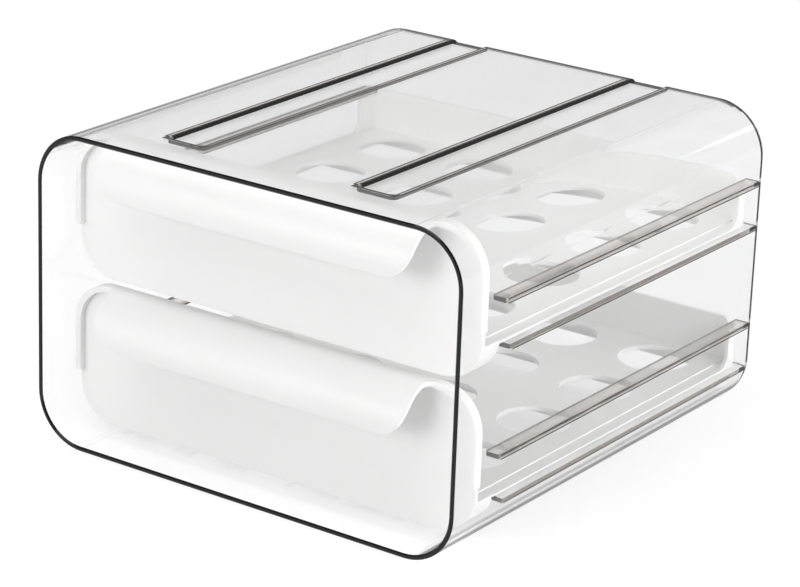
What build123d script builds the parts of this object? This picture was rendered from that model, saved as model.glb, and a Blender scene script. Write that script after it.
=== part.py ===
from build123d import *
from math import radians, sin
import os

# Two-level holder for a refrigerator: one clear moulded case, open at the front, and two white
# drawers with round seats, which slide in it on moulded rails. All sizes are in millimetres.
# X runs to the right, Y to the back, Z up. The origin is the middle of the case's underside.

# Case
case_width = 250.0
case_depth = 270.0
case_height = 162.0
case_wall = 2.5
case_corner = 27.0            # outer radius of the four long corners
case_rear_round = 3.0         # rounding of the outer rear edge
case_rim_bevel = 0.6          # on both edges of the open front rim

# Two channels sunk in the top of the case, open at the back
channel_width = 19.5          # at the floor of the channel
channel_depth = 1.8
channel_setback = 28.5        # from the front rim to the closed end
channel_side_wall = 1.5       # round the channel, below the top of the case
channel_draft = 25.0          # slope of the channel's sides, in degrees
channel_corner = 3.0

# Seats, the same grid in both drawers
seat_pitch = 56.0
seat_columns = 4
seat_rows = 4
seat_radius = 18.5
seat_rear_margin = 6.8        # from the edge of the last seats to the back wall of the drawer

# Drawer levels
levels = 2
drawer_pitch = 76.5
first_drawer_base = 6.5       # underside of the lower drawer's front above the table

# Drawer front: a panel with a raised rim round its top and sides
front_height = 73.7
front_setback = 22.0          # from the case's rim to the drawer's rim
front_side_gap = 2.9          # between the drawer's rim and the inside of the case
panel_thickness = 2.0
panel_inset = 1.1             # from the outside of the rim to the edge of the panel
rim_width = 3.1
rim_proud = 3.3               # how far the rim stands in front of the panel
rim_leg_bottom = 25.5         # lower ends of the rim above the drawer's base
rim_leg_round = 1.2

# Handle: a visor that curls forward and down from the top of the rim
visor_wall = 2.2
visor_bend = 18.5             # outer radius of the bend
visor_curl = 25.0             # outer radius of the lower edge's curl back to the panel
visor_curl_angle = 16.0
visor_half_width = 93.3
visor_corner = 17.5
visor_flare = 5.0             # radius where its sides sweep out into the rim
visor_edge_round = 0.8

# Tray of the drawer
deck_bottom = 17.0            # above the drawer's base
deck_thickness = 2.2
flange_thickness = 1.5
flange_width = 6.5
tray_side_gap = 3.5           # between the flanges and the inside of the case
tray_rear_gap = 1.2           # between the drawer's back wall and the case
tray_rear_corner = 8.0

# Apron: the lower part of the front turned back under the deck
apron_wall = 2.2
apron_back_setback = 40.0     # from the case's rim to the back edge of the apron
apron_round = 8.0

# Back wall of the drawer, with short returns along the sides
back_wall = 2.0
back_wall_height = 24.5       # above the underside of the deck
back_shoulder_gap = 0.5       # between its shoulders and the guides
back_shoulder_round = 3.9
back_return = 12.0
back_return_sweep = 6.9       # radius where a return runs down into the deck

# Skirt under the deck, which keeps the drawer centred between the ledges, and the ribs
# between the seats
skirt_wall = 1.6
skirt_depth = 6.0             # also that of the ribs
rib_thickness = 1.4
skirt_gap = 1.2               # between the skirt and a ledge
skirt_corner = 6.0

# Rails on the side walls: ledges carry the drawers, guides above stop them from tipping
rail_thickness = 2.3
rail_corner = 1.5
ledge_reach = 9.5             # from the inside of the case wall
ledge_setback = 42.0          # from the case's rim
guide_reach = 7.5
guide_setback = 37.0
guide_bottom = 38.0           # underside of the guides above the drawer's base
slide_gap = 0.3               # between a drawer's flanges and its ledges

# Places worked out from the sizes above
case_front = -case_depth / 2
case_inside = case_width / 2 - case_wall
case_back_inside = case_depth / 2 - case_wall
channel_floor = case_height - channel_depth
drawer_front = case_front + front_setback
panel_face = drawer_front + rim_proud
panel_back = panel_face + panel_thickness
front_half_width = case_inside - front_side_gap
front_corner = case_corner - case_wall - front_side_gap
recess_half_width = front_half_width - rim_width
recess_height = front_height - rim_width
recess_corner = front_corner - rim_width
panel_half_width = front_half_width - panel_inset
panel_height = front_height - panel_inset
panel_corner = front_corner - panel_inset
apron_back = case_front + apron_back_setback
tray_half_width = case_inside - tray_side_gap
tray_back = case_back_inside - tray_rear_gap
tray_length = tray_back - panel_back
deck_half_width = tray_half_width - flange_width
deck_top = deck_bottom + deck_thickness
skirt_half_width = case_inside - ledge_reach - skirt_gap
skirt_back = tray_back - back_wall
last_seat_y = tray_back - back_wall - seat_rear_margin - seat_radius
seat_middle_y = last_seat_y - seat_pitch * (seat_rows - 1) / 2
overlap = 0.5                 # how far joined features run into each other


def add_rails(top, reach, setback):
    """A pair of shelves on the side walls, running to the back of the case."""
    length = case_back_inside + overlap - (case_front + setback)
    width = reach + overlap
    with BuildSketch(Plane.XY.offset(top - rail_thickness)) as plan:
        for side in (-1, 1):
            with Locations((side * (case_inside - reach + width / 2),
                            case_front + setback + length / 2)):
                Rectangle(width, length)
        inner_front = plan.vertices().group_by(Axis.Y)[0].sort_by(lambda v: abs(v.X))[:2]
        fillet(inner_front, rail_corner)
    extrude(plan.sketch, amount=rail_thickness)


def draw_channels(grow):
    """Plan of the two top channels, which run out past the back of the case."""
    front = case_front + channel_setback - grow
    length = case_depth / 2 + channel_corner + case_wall - front
    for x in (-seat_pitch, seat_pitch):
        with Locations((x, front + length / 2)):
            RectangleRounded(channel_width + 2 * grow, length, channel_corner)


with BuildPart() as case:
    # Outer form, closed at the back
    with BuildSketch(Plane.XZ.offset(-case_front)) as outer_outline:
        with Locations((0, case_height / 2)):
            RectangleRounded(case_width, case_height, case_corner)
    extrude(amount=-case_depth)
    fillet(case.faces().sort_by(Axis.Y)[-1].edges(), case_rear_round)

    # Inside, open at the front
    with BuildSketch(Plane.XZ.offset(-case_front)) as inner_outline:
        with Locations((0, case_height / 2)):
            RectangleRounded(2 * case_inside, case_height - 2 * case_wall, case_corner - case_wall)
    extrude(amount=-(case_depth - case_wall), mode=Mode.SUBTRACT)
    chamfer(case.faces().sort_by(Axis.Y)[0].edges(), case_rim_bevel)

    # Roofs of the channels, hanging into the case, then the channels themselves
    with BuildSketch(Plane.XY.offset(channel_floor - case_wall)) as channel_roofs:
        draw_channels(channel_side_wall)
        with Locations((0, case_back_inside + overlap + case_depth / 2)):
            Rectangle(case_width, case_depth, mode=Mode.SUBTRACT)
    extrude(amount=case_wall)
    with BuildSketch(Plane.XY.offset(channel_floor)) as channel_floors:
        draw_channels(0)
    extrude(amount=channel_depth, taper=-channel_draft, mode=Mode.SUBTRACT)

    # Ledges and guides of each level
    for level in range(levels):
        drawer_base = first_drawer_base + level * drawer_pitch
        add_rails(drawer_base + deck_bottom - slide_gap, ledge_reach, ledge_setback)
        add_rails(drawer_base + guide_bottom + rail_thickness, guide_reach, guide_setback)

case.part.label = "case"


def make_visor(base):
    """Handle of one drawer: its section run across the front, cut to its outlines."""
    top = base + front_height
    with BuildPart() as outlines:
        # From the front, down to below the handle, with rounded lower corners
        height = visor_bend + visor_curl * sin(radians(visor_curl_angle))
        with BuildSketch(Plane.XZ.offset(-case_front)) as front_view:
            with Locations((0, top - height / 2)):
                Rectangle(2 * visor_half_width, height)
            fillet(front_view.vertices().group_by(Axis.Y)[0], visor_corner)
        extrude(amount=case_front - panel_back)
        # From above, sweeping out to the rim
        with BuildSketch(Plane.XY.offset(top)) as root_view:
            with Locations((0, (drawer_front - visor_flare + panel_back) / 2)):
                Rectangle(2 * (visor_half_width + visor_flare), panel_back - drawer_front + visor_flare)
            with Locations((-visor_half_width - visor_flare, drawer_front - visor_flare),
                           (visor_half_width + visor_flare, drawer_front - visor_flare)):
                Circle(visor_flare, mode=Mode.SUBTRACT)
        extrude(amount=-visor_flare)

    with BuildPart() as visor:
        with BuildSketch(Plane.YZ) as section:
            with BuildLine():
                flat = Line((panel_back, top), (drawer_front, top))
                bend = JernArc(flat @ 1, flat % 1, visor_bend, 90)
                curl = JernArc(bend @ 1, bend % 1, visor_curl, visor_curl_angle)
                inner_flat = Line((panel_back, top - visor_wall), (drawer_front, top - visor_wall))
                inner_bend = JernArc(inner_flat @ 1, inner_flat % 1, visor_bend - visor_wall, 90)
                inner_curl = JernArc(inner_bend @ 1, inner_bend % 1, visor_curl - visor_wall,
                                     visor_curl_angle)
                Line(curl @ 1, inner_curl @ 1)
                Line(flat @ 0, inner_flat @ 0)
            make_face()
        extrude(amount=front_half_width, both=True)
        low_edges = visor.edges().filter_by(Axis.X).sort_by(Axis.Z)[:2]
        fillet(low_edges, visor_edge_round)
        add(outlines.part, mode=Mode.INTERSECT)
    return visor.part


def make_back_wall(base):
    """Back wall of one drawer with its returns, cut to its outline from the front and side."""
    foot = base + deck_bottom
    length = back_return + back_return_sweep
    with BuildPart() as wall:
        with BuildSketch(Plane.XY.offset(foot)) as plan:
            with Locations((0, tray_back - case_depth / 2)):
                RectangleRounded(2 * tray_half_width, case_depth, tray_rear_corner)
                RectangleRounded(2 * (tray_half_width - back_wall), case_depth - 2 * back_wall,
                                 tray_rear_corner - back_wall, mode=Mode.SUBTRACT)
            with Locations((0, tray_back - length / 2)):
                Rectangle(2 * tray_half_width, length, mode=Mode.INTERSECT)
        extrude(amount=back_wall_height)
        with BuildSketch(Plane.XZ.offset(-case_front)) as front_view:
            shoulder_height = guide_bottom - back_shoulder_gap - deck_bottom
            with Locations((0, foot + shoulder_height / 2)):
                Rectangle(2 * tray_half_width, shoulder_height)
            with Locations((0, foot + back_wall_height / 2)):
                Rectangle(2 * deck_half_width, back_wall_height)
            fillet(front_view.vertices().group_by(Axis.Y)[-1], back_shoulder_round)
        extrude(amount=-case_depth, mode=Mode.INTERSECT)
        with BuildSketch(Plane.YZ) as side_view:
            with Locations((tray_back - back_return / 2, foot + back_wall_height / 2)):
                Rectangle(back_return, back_wall_height)
            with Locations((tray_back - length / 2, foot + flange_thickness / 2)):
                Rectangle(length, flange_thickness)
            inner = side_view.vertices().filter_by_position(Axis.X, tray_back - back_return - 0.1,
                                                            tray_back - back_return + 0.1)
            fillet(inner.sort_by(Axis.Y)[0], back_return_sweep - 0.1)
        extrude(amount=tray_half_width, both=True, mode=Mode.INTERSECT)
    return wall.part


def make_drawer(base, label):
    """One drawer, standing at the height of its level."""
    visor = make_visor(base)
    wall = make_back_wall(base)
    step_length = tray_back - (apron_back - overlap)

    with BuildPart() as drawer:
        # Panel, and the rim that stands in front of it
        with BuildSketch(Plane.XZ.offset(-drawer_front)) as rim_outline:
            with Locations((0, base + front_height / 2)):
                RectangleRounded(2 * front_half_width, front_height, front_corner)
            with Locations((0, base + rim_leg_bottom / 2)):
                Rectangle(2 * front_half_width, rim_leg_bottom, mode=Mode.SUBTRACT)
            fillet(rim_outline.vertices().group_by(Axis.Y)[0], rim_leg_round)
        extrude(amount=-(rim_proud + panel_thickness))
        with BuildSketch(Plane.XZ.offset(-drawer_front)) as recess_outline:
            with Locations((0, base + recess_height / 2)):
                RectangleRounded(2 * recess_half_width, recess_height, recess_corner)
        extrude(amount=-rim_proud, mode=Mode.SUBTRACT)
        with BuildSketch(Plane.XZ.offset(-panel_face)) as panel_outline:
            with Locations((0, base + panel_height / 2)):
                RectangleRounded(2 * panel_half_width, panel_height, panel_corner)
        extrude(amount=-panel_thickness)
        add(visor)

        # Apron, open to the back, with its lower back edge rounded off
        with BuildSketch(Plane.XZ.offset(-panel_back)) as apron_outline:
            with Locations((0, base + panel_height / 2)):
                RectangleRounded(2 * panel_half_width, panel_height, panel_corner)
                RectangleRounded(2 * (panel_half_width - apron_wall), panel_height - 2 * apron_wall,
                                 panel_corner - apron_wall, mode=Mode.SUBTRACT)
            with Locations((0, base + deck_bottom / 2)):
                Rectangle(2 * panel_half_width, deck_bottom + overlap, mode=Mode.INTERSECT)
        extrude(amount=panel_back - apron_back)
        with BuildSketch(Plane.YZ) as round_off:
            with Locations((apron_back - apron_round / 2, base + apron_round / 2)):
                Rectangle(apron_round, apron_round)
            with Locations((apron_back - apron_round, base + apron_round)):
                Circle(apron_round, mode=Mode.SUBTRACT)
        extrude(amount=case_width / 2, both=True, mode=Mode.SUBTRACT)

        # Deck, its side flanges and the back wall
        with BuildSketch(Plane.XY.offset(base + deck_bottom)) as flanges:
            with Locations((0, tray_back - step_length / 2)):
                Rectangle(2 * tray_half_width, step_length)
            fillet(flanges.vertices().group_by(Axis.Y)[-1], tray_rear_corner)
            with Locations((0, (panel_back + apron_back) / 2)):
                Rectangle(2 * panel_half_width, apron_back - panel_back)
        extrude(amount=flange_thickness)
        with BuildSketch(Plane.XY.offset(base + deck_bottom)) as deck:
            with Locations((0, panel_back + (tray_length - back_wall) / 2)):
                Rectangle(2 * deck_half_width, tray_length - back_wall)
        extrude(amount=deck_thickness)
        add(wall)

        # Skirt and ribs
        with BuildSketch(Plane.XY.offset(base + deck_bottom)) as stiffeners:
            with Locations((0, skirt_back - case_depth / 2)):
                RectangleRounded(2 * skirt_half_width, case_depth, skirt_corner)
                RectangleRounded(2 * (skirt_half_width - skirt_wall), case_depth - 2 * skirt_wall,
                                 skirt_corner - skirt_wall, mode=Mode.SUBTRACT)
            with Locations((0, seat_middle_y)):
                with GridLocations(seat_pitch, 0, seat_columns - 1, 1):
                    Rectangle(rib_thickness, case_depth)
                with GridLocations(0, seat_pitch, 1, seat_rows - 1):
                    Rectangle(2 * skirt_half_width - skirt_wall, rib_thickness)
            with Locations((0, (panel_back + skirt_back - overlap) / 2)):
                Rectangle(2 * skirt_half_width, skirt_back - overlap - panel_back,
                          mode=Mode.INTERSECT)
        extrude(amount=-skirt_depth)

        # Seats
        with Locations((0, seat_middle_y, base + deck_top)):
            with GridLocations(seat_pitch, seat_pitch, seat_columns, seat_rows):
                Hole(seat_radius, depth=deck_thickness)

    drawer.part.label = label
    return drawer


lower_drawer = make_drawer(first_drawer_base, "lower_drawer")
upper_drawer = make_drawer(first_drawer_base + drawer_pitch, "upper_drawer")

os.makedirs("parts", exist_ok=True)
export_step(case.part, "parts/case.step")
export_step(lower_drawer.part, "parts/lower_drawer.step")
export_step(upper_drawer.part, "parts/upper_drawer.step")
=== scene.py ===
from math import radians

import bpy
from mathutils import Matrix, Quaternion, Vector


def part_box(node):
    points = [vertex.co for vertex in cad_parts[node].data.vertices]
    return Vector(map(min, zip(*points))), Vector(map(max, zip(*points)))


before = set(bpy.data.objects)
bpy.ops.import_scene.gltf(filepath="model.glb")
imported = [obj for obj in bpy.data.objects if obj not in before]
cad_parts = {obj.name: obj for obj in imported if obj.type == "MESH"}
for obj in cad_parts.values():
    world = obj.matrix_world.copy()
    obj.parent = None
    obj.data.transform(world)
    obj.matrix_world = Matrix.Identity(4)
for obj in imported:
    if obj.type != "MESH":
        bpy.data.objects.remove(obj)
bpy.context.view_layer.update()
scene = bpy.context.scene
scene.view_settings.view_transform = "Standard"


# The camera: a long lens well back from the box, a little above it and to its right, and
# rolled slightly.
view_azimuth = 34.94
view_elevation = 19.84
view_roll = 2.08
view_distance = 1.5948
view_target = Vector((-0.00302, 0.0, 0.06857))
lens_length = 142.77
sensor_width = 36.0

camera_data = bpy.data.cameras.new("camera")
camera_data.sensor_width = sensor_width
camera_data.lens = lens_length
camera_data.clip_start = 0.05
camera_data.clip_end = 50.0
camera = bpy.data.objects.new("camera", camera_data)
swing = Quaternion((0, 0, 1), radians(view_azimuth))
turn = swing @ Quaternion((1, 0, 0), radians(90 - view_elevation))
camera.rotation_mode = "QUATERNION"
camera.rotation_quaternion = turn @ Quaternion((0, 0, 1), radians(view_roll))
camera.location = view_target + turn @ Vector((0, 0, view_distance))
scene.collection.objects.link(camera)
scene.camera = camera


# The two drawers: each is one moulding of white plastic, with its front, handle, deck and back
# wall in one piece and the fine satin texture of the mould all over. It is fixed to nothing,
# and slides on the ledges of the case.


def feed(tree, socket, value):
    """Gives an input a value, or joins it to the output of another node."""
    if isinstance(value, bpy.types.NodeSocket):
        tree.links.new(value, socket)
    else:
        socket.default_value = value


def add_node(tree, kind, inputs=None, **options):
    """Adds a node, sets its options, then feeds the inputs that are named."""
    made = tree.nodes.new(kind)
    for option, value in options.items():
        setattr(made, option, value)
    for name, value in (inputs or {}).items():
        feed(tree, made.inputs[name], value)
    return made


def calculate(tree, operation, *terms, **options):
    """The result of one operation on numbers or on the outputs of other nodes."""
    inputs = dict(enumerate(terms))
    return add_node(tree, "ShaderNodeMath", inputs, operation=operation, **options).outputs[0]


def emptied_tree(owner):
    """The node tree of a material or of the world, with nothing in it yet."""
    owner.use_nodes = True
    owner.node_tree.nodes.clear()
    return owner.node_tree


# The grain that a mould leaves, used by both plastics: fine pits, a slow wave of the surface,
# and a cloud where the plastic cooled faster or slower, which shifts the roughness and tone.
grain = bpy.data.node_groups.new("mould_grain", "ShaderNodeTree")
usual_grain = {"Grain Size": 0.0006, "Depth": 0.1, "Roughness": 0.35, "Spread": 0.06, "Wave": 0.02}
for name, value in usual_grain.items():
    socket = grain.interface.new_socket(name, in_out="INPUT", socket_type="NodeSocketFloat")
    socket.default_value = value
for name, kind in (("Roughness", "NodeSocketFloat"), ("Normal", "NodeSocketVector"),
                   ("Cloud", "NodeSocketFloat")):
    grain.interface.new_socket(name, in_out="OUTPUT", socket_type=kind)

given = add_node(grain, "NodeGroupInput").outputs
place = add_node(grain, "ShaderNodeTexCoord").outputs["Object"]
pits = add_node(grain, "ShaderNodeTexNoise",
                {"Vector": place, "Scale": calculate(grain, "DIVIDE", 1.0, given["Grain Size"]),
                 "Detail": 2.0, "Roughness": 0.6})
cloud = add_node(grain, "ShaderNodeTexNoise",
                 {"Vector": place, "Scale": 18.0, "Detail": 2.0, "Roughness": 0.45})
waves = add_node(grain, "ShaderNodeTexNoise",
                 {"Vector": place, "Scale": 9.0, "Detail": 1.0, "Roughness": 0.4})
shift = calculate(grain, "SUBTRACT", cloud.outputs["Fac"], 0.5)
wavy = add_node(grain, "ShaderNodeBump",
                {"Strength": given["Wave"], "Distance": 0.002, "Height": waves.outputs["Fac"]})
pitted = add_node(grain, "ShaderNodeBump",
                  {"Strength": given["Depth"], "Distance": 0.0002, "Height": pits.outputs["Fac"],
                   "Normal": wavy.outputs["Normal"]})
add_node(grain, "NodeGroupOutput",
         {"Roughness": calculate(grain, "MULTIPLY_ADD", shift, given["Spread"], given["Roughness"]),
          "Normal": pitted.outputs["Normal"], "Cloud": cloud.outputs["Fac"]})


def moulded_surface(tree, grain_inputs, tones):
    """What a plastic's shader takes from the grain: its tone, roughness and normal."""
    texture = add_node(tree, "ShaderNodeGroup", grain_inputs, node_tree=grain).outputs
    tone = add_node(tree, "ShaderNodeMix",
                    {"Factor": texture["Cloud"], "A": tones[0], "B": tones[1]}, data_type="RGBA")
    return tone.outputs["Result"], texture["Roughness"], texture["Normal"]


def dress(name, material):
    """Gives a piece its material."""
    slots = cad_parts[name].data.materials
    slots.clear()
    slots.append(material)


white = bpy.data.materials.new("white_satin_plastic")
white_tree = emptied_tree(white)
white_grain = {"Grain Size": 0.0007, "Depth": 0.12, "Roughness": 0.36, "Spread": 0.08, "Wave": 0.02}
white_tones = ((0.90, 0.90, 0.897, 1.0), (0.93, 0.93, 0.928, 1.0))
tone, roughness, normal = moulded_surface(white_tree, white_grain, white_tones)
satin = add_node(white_tree, "ShaderNodeBsdfPrincipled",
                 {"Base Color": tone, "Roughness": roughness, "Normal": normal, "IOR": 1.49,
                  "Subsurface Weight": 0.15, "Subsurface Radius": (1.0, 0.95, 0.9),
                  "Subsurface Scale": 0.0015})
add_node(white_tree, "ShaderNodeOutputMaterial", {"Surface": satin.outputs["BSDF"]})

for drawer in ("upper_drawer", "lower_drawer"):
    dress(drawer, white)


# The case: one moulding of clear plastic, a tube with round corners that is closed at the back.
# The ledges and guides on its side walls and the two channels in its top are moulded in. It is
# polished all over and stands loose on the table.
case_low, case_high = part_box("case")
drawer_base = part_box("lower_drawer")[0].z
drawer_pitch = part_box("upper_drawer")[0].z - drawer_base
case_wall = 0.0025
rim_bevel = 0.0006
rear_round = 0.003
case_inside = case_high.x - case_wall
rail_back = case_high.y - rear_round

clear = bpy.data.materials.new("clear_plastic")
clear_tree = emptied_tree(clear)
clear_grain = {"Grain Size": 0.004, "Depth": 0.0, "Roughness": 0.02, "Spread": 0.03, "Wave": 0.01}
clear_tones = ((0.955, 0.957, 0.96, 1.0), (0.97, 0.972, 0.975, 1.0))
tone, roughness, normal = moulded_surface(clear_tree, clear_grain, clear_tones)


def joined(tree, operation, *values):
    """Several values put together two at a time."""
    result = values[0]
    for value in values[1:]:
        result = calculate(tree, operation, result, value)
    return result


def all_of(*masks):
    """1 where every mask is 1."""
    return joined(clear_tree, "MULTIPLY", *masks)


def any_of(*masks):
    """1 where at least one mask is 1."""
    return joined(clear_tree, "MAXIMUM", *masks)


def below(value, limit):
    """1 where the value is under the limit."""
    return calculate(clear_tree, "LESS_THAN", value, limit)


def above(value, limit):
    """1 where the value is over the limit."""
    return calculate(clear_tree, "GREATER_THAN", value, limit)


def between(value, low, high):
    """1 where the value lies from low to high."""
    return calculate(clear_tree, "COMPARE", value, (low + high) / 2, (high - low) / 2)


# Painted shade: where light that has run along inside the wall comes out dark, at the front rim, at the
# edges, fronts and roots of the rails and round the channels, dark lines are painted into the plastic's
# colour. Masks find these by place and by slope, and a margin keeps their ends off the faces that they
# take in or leave out.
margin = 0.0005
level_limit = 0.9
upright_limit = 0.5

spot = add_node(clear_tree, "ShaderNodeSeparateXYZ",
                {"Vector": add_node(clear_tree, "ShaderNodeTexCoord").outputs["Object"]}).outputs
lean = add_node(clear_tree, "ShaderNodeSeparateXYZ",
                {"Vector": add_node(clear_tree, "ShaderNodeNewGeometry").outputs["Normal"]}).outputs
across = calculate(clear_tree, "ABSOLUTE", spot["X"])
along = spot["Y"]
high = spot["Z"]
flatness = calculate(clear_tree, "ABSOLUTE", lean["Z"])
level_face = above(flatness, level_limit)
upright_face = below(flatness, upright_limit)

# The front rim: painted black shade on its cut face with the bevels on both its edges.
front_rim_painted_shade = below(along, case_low.y + rim_bevel)

# The channels: painted dark shade on their sides, and on the level top a painted dark line along each
# long edge with a lighter, painted brown heart, and a painted dark line across the closed front end.
channel_middle = 0.056
channel_half_width = 0.0106
channel_setback = 0.0285
sides_depth = 0.0045
sides_half_width = 0.019
sides_setback = 0.015
lip_depth = 0.0015
side_line_width = 0.0031
end_line_width = 0.0029
end_line_overhang = 0.002
heart_inset = 0.001
heart_width = 0.0011
heart_setback = 0.002
channel_front = case_low.y + channel_setback
channel_back = rail_back - margin
heart_start = channel_half_width + heart_inset

off_middle = calculate(clear_tree, "ABSOLUTE", calculate(clear_tree, "SUBTRACT", across, channel_middle))
channel_sides = all_of(below(flatness, level_limit), above(high, case_high.z - sides_depth),
                       below(off_middle, sides_half_width),
                       between(along, case_low.y + sides_setback, channel_back))
side_lines = all_of(between(off_middle, channel_half_width, channel_half_width + side_line_width),
                    between(along, channel_front + margin, channel_back))
end_lines = all_of(below(off_middle, channel_half_width + end_line_overhang),
                   between(along, channel_front - end_line_width, channel_front + margin))
channel_lips = all_of(above(high, case_high.z - lip_depth), any_of(side_lines, end_lines))
lip_hearts = all_of(channel_lips, above(along, channel_front + heart_setback),
                    between(off_middle, heart_start, heart_start + heart_width))

# The rails, a ledge and a guide for each drawer, get painted shade: dark on their lips and fronts, warm
# brown along their free edges and warm grey on the guides' level faces. Heights are taken from the base
# of the level that a rail is on, so one mask finds the rails of both levels.
rail_thickness = 0.0023
ledge_reach = 0.0095
ledge_setback = 0.042
ledge_rise = 0.0144
guide_reach = 0.0075
guide_setback = 0.037
guide_rise = 0.038
edge_depth = 0.0018
lip_width = 0.0004
forward_limit = -0.5
front_margin = 0.0015
ledge_edge = case_inside - ledge_reach
ledge_front = case_low.y + ledge_setback
ledge_bottom = drawer_base + ledge_rise
guide_edge = case_inside - guide_reach
guide_front = case_low.y + guide_setback
guide_bottom = drawer_base + guide_rise

level_height = calculate(clear_tree, "MODULO", high, drawer_pitch)
before_back = below(along, rail_back)
ledge_heights = between(level_height, ledge_bottom - margin, ledge_bottom + rail_thickness + margin)
guide_heights = between(level_height, guide_bottom - margin, guide_bottom + rail_thickness + margin)


def near_free_edge(depth):
    """1 on every rail, from its free edge to this depth towards the wall."""
    on_ledge = all_of(ledge_heights, between(across, ledge_edge - margin, ledge_edge + depth))
    on_guide = all_of(guide_heights, between(across, guide_edge - margin, guide_edge + depth))
    return any_of(on_ledge, on_guide)


rail_edges = all_of(upright_face, before_back, near_free_edge(edge_depth))
rail_lips = all_of(level_face, before_back, near_free_edge(lip_width))
rail_fronts = all_of(below(lean["Y"], forward_limit),
                     between(across, ledge_edge - margin, case_inside + margin),
                     between(along, guide_front - front_margin, ledge_front + front_margin))
# Painted warm grey shade on the level faces of the guides.
guide_painted_shade = all_of(level_face, guide_heights, between(across, guide_edge - margin, case_inside))

# The roots of the rails: thin painted dark lines on the outside of the wall, one for each ledge and two
# for each guide.
root_width = 0.0007
ledge_root = ledge_bottom - 0.0002
guide_lower_root = guide_bottom - 0.0003
guide_upper_root = guide_bottom + 0.0017


def root_line(bottom, front):
    """1 in a thin level band that starts at this height and runs back from this front."""
    return all_of(between(level_height, bottom, bottom + root_width),
                  between(along, front + margin, rail_back))


wall_lines = all_of(above(across, case_inside + margin),
                    any_of(root_line(ledge_root, ledge_front), root_line(guide_lower_root, guide_front),
                           root_line(guide_upper_root, guide_front)))

# The round rear edge of the top, and every sloping surface that is seen almost edge on, get painted dark
# bands.
rear_edge_depth = 0.0053
rear_edge_drop = 0.004
backward_lean = (-0.1, 0.94)
sloping = (0.03, 0.985)
glance_start = 0.75
glance_full = 0.82
rear_edge_painted_shade = all_of(above(along, case_high.y - rear_edge_depth), above(high, case_high.z - rear_edge_drop),
                   between(lean["Y"], *backward_lean))
glance = add_node(clear_tree, "ShaderNodeLayerWeight", {"Blend": 0.5})
glance_band = add_node(clear_tree, "ShaderNodeMapRange",
                       {"Value": glance.outputs["Facing"], "From Min": glance_start,
                        "From Max": glance_full})
glance_painted_shade = all_of(glance_band.outputs["Result"], between(flatness, *sloping))

# Each kind of painted shade has its own tint, multiplied into the plastic's tone.
warm_painted_shade = any_of(rail_edges, lip_hearts)
dark_painted_shade = any_of(channel_sides, channel_lips, rail_lips, rail_fronts, wall_lines)
dark_painted_shade = calculate(clear_tree, "SUBTRACT", dark_painted_shade, lip_hearts, use_clamp=True)
color = tone
# The painted shades: black on the front rim, warm brown on the rail edges and channel hearts, near black
# on the other dark lines, warm grey on the guides, dark grey on the rear edge and black on surfaces seen
# edge on.
for mask, tint in ((front_rim_painted_shade, (0.0008, 0.0007, 0.0007, 1.0)),
                   (warm_painted_shade, (0.5, 0.42, 0.36, 1.0)),
                   (dark_painted_shade, (0.001, 0.0008, 0.0007, 1.0)),
                   (guide_painted_shade, (0.84, 0.79, 0.75, 1.0)),
                   (rear_edge_painted_shade, (0.03, 0.03, 0.032, 1.0)),
                   (glance_painted_shade, (0.01, 0.01, 0.0105, 1.0))):
    tinted = add_node(clear_tree, "ShaderNodeMix", {"Factor": mask, "A": color, "B": tint},
                      data_type="RGBA", blend_type="MULTIPLY")
    color = tinted.outputs["Result"]

# The plastic bends light, takes a little of it on the way through, and casts almost no shadow.
glassy = add_node(clear_tree, "ShaderNodeBsdfPrincipled",
                  {"Base Color": color, "Roughness": roughness, "Normal": normal, "IOR": 1.5,
                   "Transmission Weight": 1.0})
passing = add_node(clear_tree, "ShaderNodeBsdfTransparent", {"Color": (0.965, 0.965, 0.96, 1.0)})
rays = add_node(clear_tree, "ShaderNodeLightPath").outputs
choice = add_node(clear_tree, "ShaderNodeMixShader",
                  {"Fac": rays["Is Shadow Ray"], 1: glassy.outputs["BSDF"], 2: passing.outputs["BSDF"]})
absorb = add_node(clear_tree, "ShaderNodeVolumeAbsorption",
                  {"Color": (0.12, 0.07, 0.03, 1.0), "Density": 10.0})
add_node(clear_tree, "ShaderNodeOutputMaterial",
         {"Surface": choice.outputs["Shader"], "Volume": absorb.outputs["Volume"]})

dress("case", clear)


# The table: a wide sheet of white paper with a fine fibre, laid flat just under the box. Seen
# by the camera, through the clear case or mirrored in it, it glows by itself, so that it looks
# plain white and still holds the shadow.
table_half = 6.0
table_drop = 0.0002
table_glow = {"Is Camera Ray": 0.72, "Is Transmission Ray": 0.76, "Is Glossy Ray": 0.4}
paper_tones = ((0.82, 0.82, 0.82, 1.0), (0.86, 0.86, 0.86, 1.0))
glowing_tint = (0.5, 0.5, 0.5, 1.0)

floor_mesh = bpy.data.meshes.new("floor")
corners = [(x * table_half, y * table_half, 0) for x, y in ((-1, -1), (1, -1), (1, 1), (-1, 1))]
floor_mesh.from_pydata(corners, [], [(0, 1, 2, 3)])
floor = bpy.data.objects.new("floor", floor_mesh)
floor.location.z = -table_drop
scene.collection.objects.link(floor)

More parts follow.
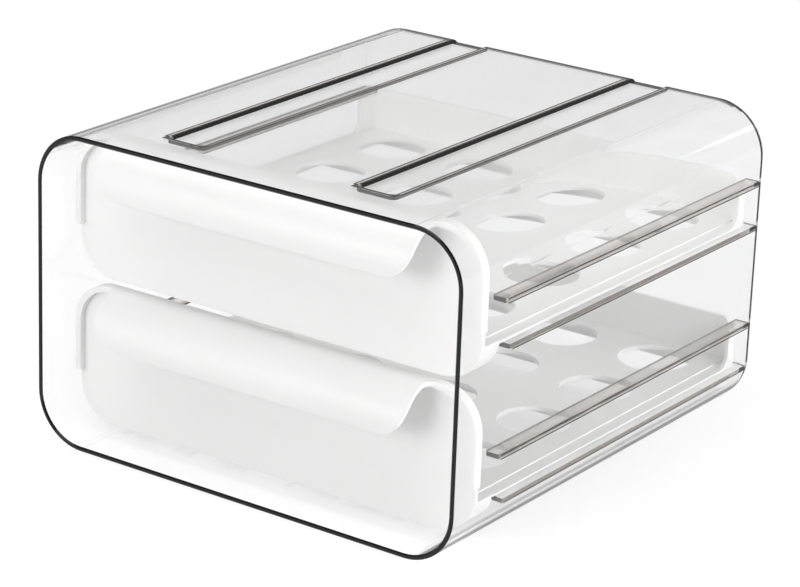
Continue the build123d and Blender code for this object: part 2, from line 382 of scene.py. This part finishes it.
paper = bpy.data.materials.new("white_paper")
paper_tree = emptied_tree(paper)
fibre = add_node(paper_tree, "ShaderNodeTexNoise", {"Scale": 900.0, "Detail": 2.0})
tone = add_node(paper_tree, "ShaderNodeMix",
                {"Factor": fibre.outputs["Fac"], "A": paper_tones[0], "B": paper_tones[1]},
                data_type="RGBA")
rays = add_node(paper_tree, "ShaderNodeLightPath").outputs
seen = joined(paper_tree, "MAXIMUM", *[rays[ray] for ray in table_glow])
strengths = [calculate(paper_tree, "MULTIPLY", rays[ray], table_glow[ray]) for ray in table_glow]
dimmed = add_node(paper_tree, "ShaderNodeMix",
                  {"Factor": seen, "A": tone.outputs["Result"], "B": glowing_tint},
                  data_type="RGBA", blend_type="MULTIPLY")
matt = add_node(paper_tree, "ShaderNodeBsdfDiffuse", {"Color": dimmed.outputs["Result"]})
glow = add_node(paper_tree, "ShaderNodeEmission",
                {"Color": (1.0, 1.0, 1.0, 1.0), "Strength": joined(paper_tree, "MAXIMUM", *strengths)})
lit = add_node(paper_tree, "ShaderNodeAddShader", {0: matt.outputs["BSDF"], 1: glow.outputs["Emission"]})
add_node(paper_tree, "ShaderNodeOutputMaterial", {"Surface": lit.outputs["Shader"]})
floor_mesh.materials.append(paper)


# The lamps: five rectangular softboxes, above, in front, low in front, at the right and behind,
# all turned to the middle of the box.
lamp_aim = Vector((0.0, 0.0, 0.08))


def add_softbox(name, place, width, height, power):
    """A soft light of this size and power, turned to the middle of the box."""
    data = bpy.data.lights.new(name, "AREA")
    data.shape = "RECTANGLE"
    data.size = width
    data.size_y = height
    data.energy = power
    lamp = bpy.data.objects.new(name, data)
    lamp.location = place
    lamp.rotation_mode = "QUATERNION"
    lamp.rotation_quaternion = (Vector(place) - lamp_aim).to_track_quat("Z", "Y")
    scene.collection.objects.link(lamp)


add_softbox("overhead_light", place=(-0.2, -0.8, 1.5), width=1.2, height=1.0, power=6.2)
add_softbox("front_light", place=(-0.5, -1.8, 0.7), width=1.2, height=0.8, power=10.7)
add_softbox("low_light", place=(-0.4, -1.8, 0.25), width=1.2, height=0.4, power=4.3)
add_softbox("right_light", place=(1.7, 0.0, 0.35), width=1.4, height=0.6, power=12.0)
add_softbox("back_light", place=(0.2, 1.8, 0.5), width=1.4, height=0.8, power=5.5)


# The room: an even white backdrop for the camera. The light that it sends falls off from the
# back to the front. Mirrored in a surface it is weaker, and through the clear case fuller.
back_level = 1.0
front_level = 0.1
mirror_loss = 0.3
through_level = 0.97
backdrop_level = 1.0

world = bpy.data.worlds.new("studio")
scene.world = world
world_tree = emptied_tree(world)
direction = add_node(world_tree, "ShaderNodeSeparateXYZ",
                     {0: add_node(world_tree, "ShaderNodeTexCoord").outputs["Generated"]}).outputs
falloff = add_node(world_tree, "ShaderNodeMapRange",
                   {"Value": direction["Y"], "From Min": 1.0, "From Max": -1.0,
                    "To Min": back_level, "To Max": front_level})
rays = add_node(world_tree, "ShaderNodeLightPath").outputs
mirrored = calculate(world_tree, "SUBTRACT", rays["Is Glossy Ray"], rays["Is Transmission Ray"],
                     use_clamp=True)
softened = calculate(world_tree, "MULTIPLY_ADD", mirrored, -mirror_loss, 1.0)
level = calculate(world_tree, "MULTIPLY", falloff.outputs["Result"], softened)
through = calculate(world_tree, "MULTIPLY", rays["Is Transmission Ray"], through_level)
room = add_node(world_tree, "ShaderNodeBackground",
                {"Strength": calculate(world_tree, "MAXIMUM", level, through)})
backdrop = add_node(world_tree, "ShaderNodeBackground", {"Strength": backdrop_level})
choice = add_node(world_tree, "ShaderNodeMixShader",
                  {"Fac": rays["Is Camera Ray"], 1: room.outputs["Background"],
                   2: backdrop.outputs["Background"]})
add_node(world_tree, "ShaderNodeOutputWorld", {"Surface": choice.outputs["Shader"]})
